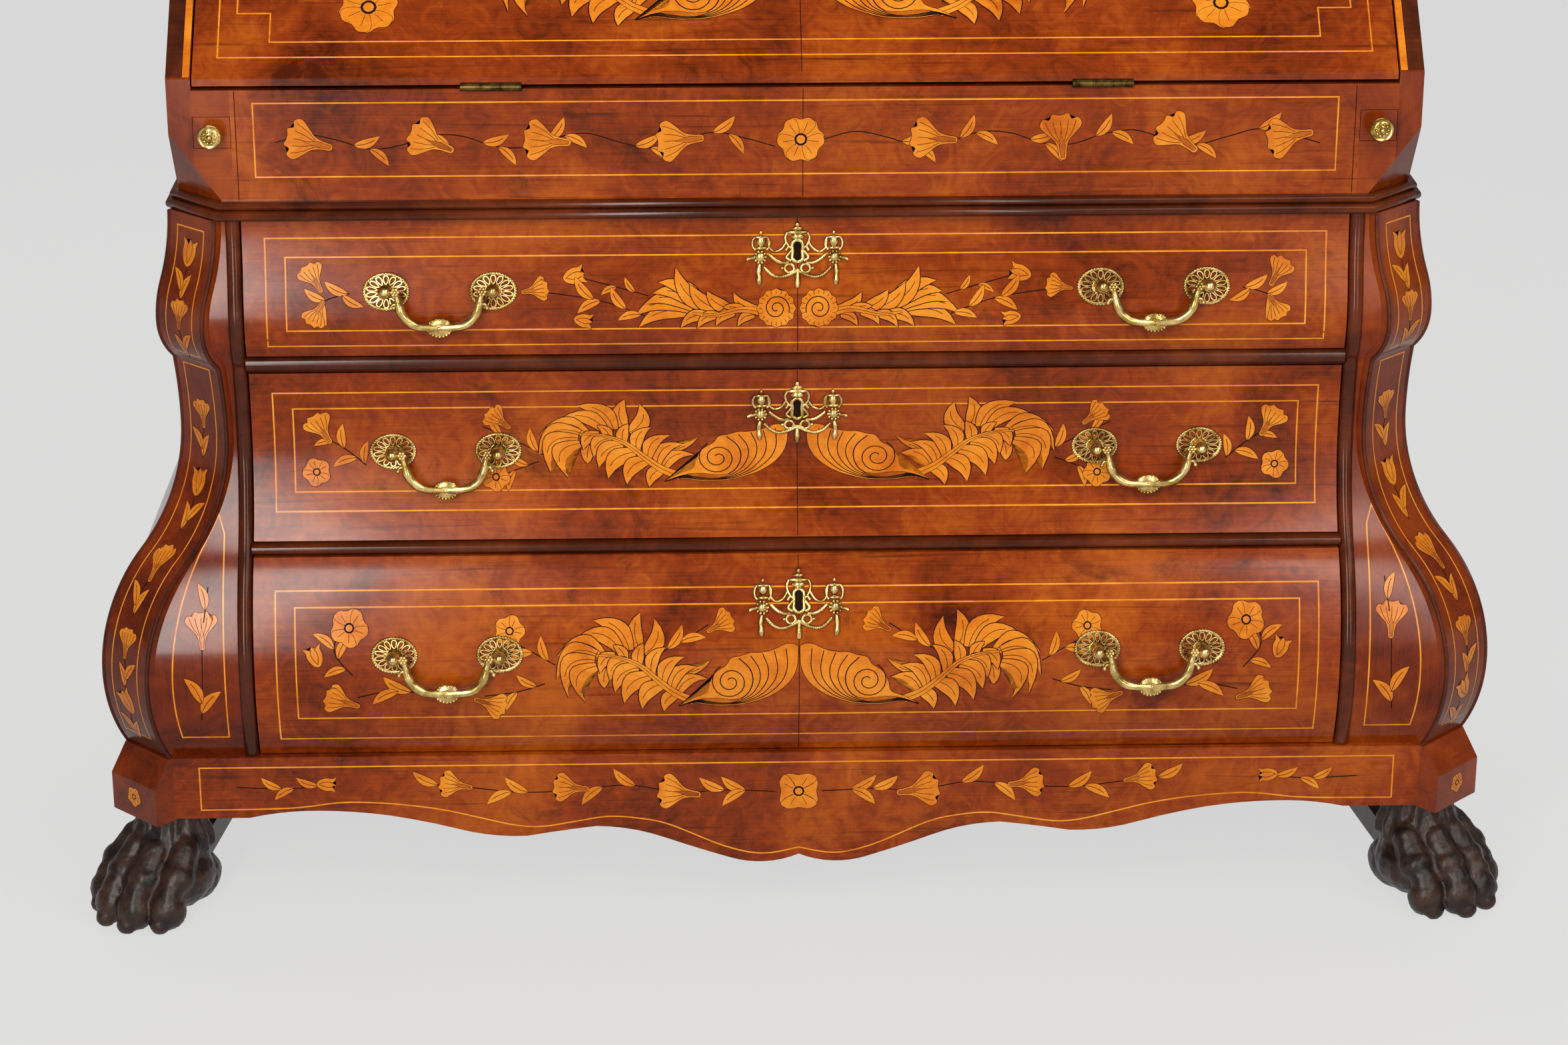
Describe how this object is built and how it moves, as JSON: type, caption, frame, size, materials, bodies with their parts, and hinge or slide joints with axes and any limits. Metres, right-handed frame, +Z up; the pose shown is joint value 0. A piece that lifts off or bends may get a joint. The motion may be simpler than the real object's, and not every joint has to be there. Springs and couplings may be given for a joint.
{
  "type": "bombe bureau",
  "caption": "Slant-front writing desk over a swelling chest of drawers, with canted scroll corners, bail handles, pull-out lopers and paw feet.",
  "frame": {"origin": "on the floor, at the middle of the whole object's width and depth", "axes": "+Z up, +X to the right seen from the front, the front faces -Y"},
  "size_m": [1.3428, 0.6311, 1.1],
  "materials": {
    "walnut": "french polished walnut veneer",
    "oak": "waxed oak",
    "ebonised": "ebonised, worn polish",
    "brass": "cast and chased, lightly tarnished"
  },
  "bodies": {
    "carcass": {"back_boards": "oak", "chest_bottom": "oak", "chest_side_left": "walnut", "chest_side_right": "walnut", "cock_beads": "walnut", "console_left": "walnut", "console_right": "walnut", "desk_floor": "walnut", "desk_side_left": "walnut", "desk_side_right": "walnut", "desk_top": "walnut", "drawer_runners": "oak", "frieze_hinge_leaves": "brass", "frieze_panel": "walnut", "loper_blocks": "walnut", "loper_guides": "oak", "paw_foot_left": "ebonised", "paw_foot_right": "ebonised", "pigeonhole_nest": "walnut", "plinth_apron": "walnut", "plinth_block_left": "walnut", "plinth_block_right": "walnut", "plinth_sides": "walnut", "rail_lower": "walnut", "rail_upper": "walnut", "rear_feet": "ebonised", "stile_left": "walnut", "stile_right": "walnut", "stretchers": "ebonised", "waist_board": "walnut", "waist_moulding": "walnut"},
    "fall": {"fall_front": "walnut", "fall_brasses": "brass"},
    "well_slide": {"well_slide": "walnut"},
    "prospect_door": {"prospect_door": "walnut"},
    "loper_left": {"loper_left": "walnut", "loper_knob_left": "brass"},
    "nest_drawer_left": {"nest_drawer_left": "walnut"},
    "loper_right": {"loper_right": "walnut", "loper_knob_right": "brass"},
    "nest_drawer_right": {"nest_drawer_right": "walnut"},
    "drawer_top": {"drawer_top_front": "walnut", "drawer_top_box": "oak", "drawer_top_brasses": "brass"},
    "bail_top_left": {"bail_top_left": "brass"},
    "bail_top_right": {"bail_top_right": "brass"},
    "drawer_middle": {"drawer_middle_front": "walnut", "drawer_middle_box": "oak", "drawer_middle_brasses": "brass"},
    "bail_middle_left": {"bail_middle_left": "brass"},
    "bail_middle_right": {"bail_middle_right": "brass"},
    "drawer_bottom": {"drawer_bottom_front": "walnut", "drawer_bottom_box": "oak", "drawer_bottom_brasses": "brass"},
    "bail_bottom_left": {"bail_bottom_left": "brass"},
    "bail_bottom_right": {"bail_bottom_right": "brass"}
  },
  "joints": [
    {"name": "fall_hinge", "type": "hinge", "parent": "carcass", "child": "fall", "pos_m": [0, -0.2054, 0.788], "axis": [1, 0, 0], "range_deg": [0, 137.9]},
    {"name": "loper_left_slide", "type": "slide", "parent": "carcass", "child": "loper_left", "axis": [0, -1, 0], "range_m": [0, 0.3]},
    {"name": "loper_right_slide", "type": "slide", "parent": "carcass", "child": "loper_right", "axis": [0, -1, 0], "range_m": [0, 0.3]},
    {"name": "drawer_top_slide", "type": "slide", "parent": "carcass", "child": "drawer_top", "axis": [0, -1, 0], "range_m": [0, 0.36]},
    {"name": "bail_top_left_swing", "type": "hinge", "parent": "drawer_top", "child": "bail_top_left", "pos_m": [-0.326, -0.23321, 0.60571], "axis": [-1, 0, 0], "range_deg": [0, 90]},
    {"name": "bail_top_right_swing", "type": "hinge", "parent": "drawer_top", "child": "bail_top_right", "pos_m": [0.326, -0.23321, 0.60571], "axis": [-1, 0, 0], "range_deg": [0, 90]},
    {"name": "drawer_middle_slide", "type": "slide", "parent": "carcass", "child": "drawer_middle", "axis": [0, -1, 0], "range_m": [0, 0.36]},
    {"name": "bail_middle_left_swing", "type": "hinge", "parent": "drawer_middle", "child": "bail_middle_left", "pos_m": [-0.326, -0.22428, 0.44605], "axis": [-1, 0, 0], "range_deg": [0, 90]},
    {"name": "bail_middle_right_swing", "type": "hinge", "parent": "drawer_middle", "child": "bail_middle_right", "pos_m": [0.326, -0.22428, 0.44605], "axis": [-1, 0, 0], "range_deg": [0, 90]},
    {"name": "drawer_bottom_slide", "type": "slide", "parent": "carcass", "child": "drawer_bottom", "axis": [0, -1, 0], "range_m": [0, 0.36]},
    {"name": "bail_bottom_left_swing", "type": "hinge", "parent": "drawer_bottom", "child": "bail_bottom_left", "pos_m": [-0.326, -0.29679, 0.27222], "axis": [-1, 0, 0], "range_deg": [0, 90]},
    {"name": "bail_bottom_right_swing", "type": "hinge", "parent": "drawer_bottom", "child": "bail_bottom_right", "pos_m": [0.326, -0.29679, 0.27222], "axis": [-1, 0, 0], "range_deg": [0, 90]},
    {"name": "well_slide_run", "type": "slide", "parent": "carcass", "child": "well_slide", "axis": [0, 1, 0], "range_m": [0, 0.19]},
    {"name": "prospect_door_hinge", "type": "hinge", "parent": "carcass", "child": "prospect_door", "pos_m": [-0.0614, 0.1126, 0.8625], "axis": [0, 0, -1], "range_deg": [0, 90]},
    {"name": "nest_drawer_left_slide", "type": "slide", "parent": "carcass", "child": "nest_drawer_left", "axis": [0, -1, 0], "range_m": [0, 0.14]},
    {"name": "nest_drawer_right_slide", "type": "slide", "parent": "carcass", "child": "nest_drawer_right", "axis": [0, -1, 0], "range_m": [0, 0.14]}
  ]
}
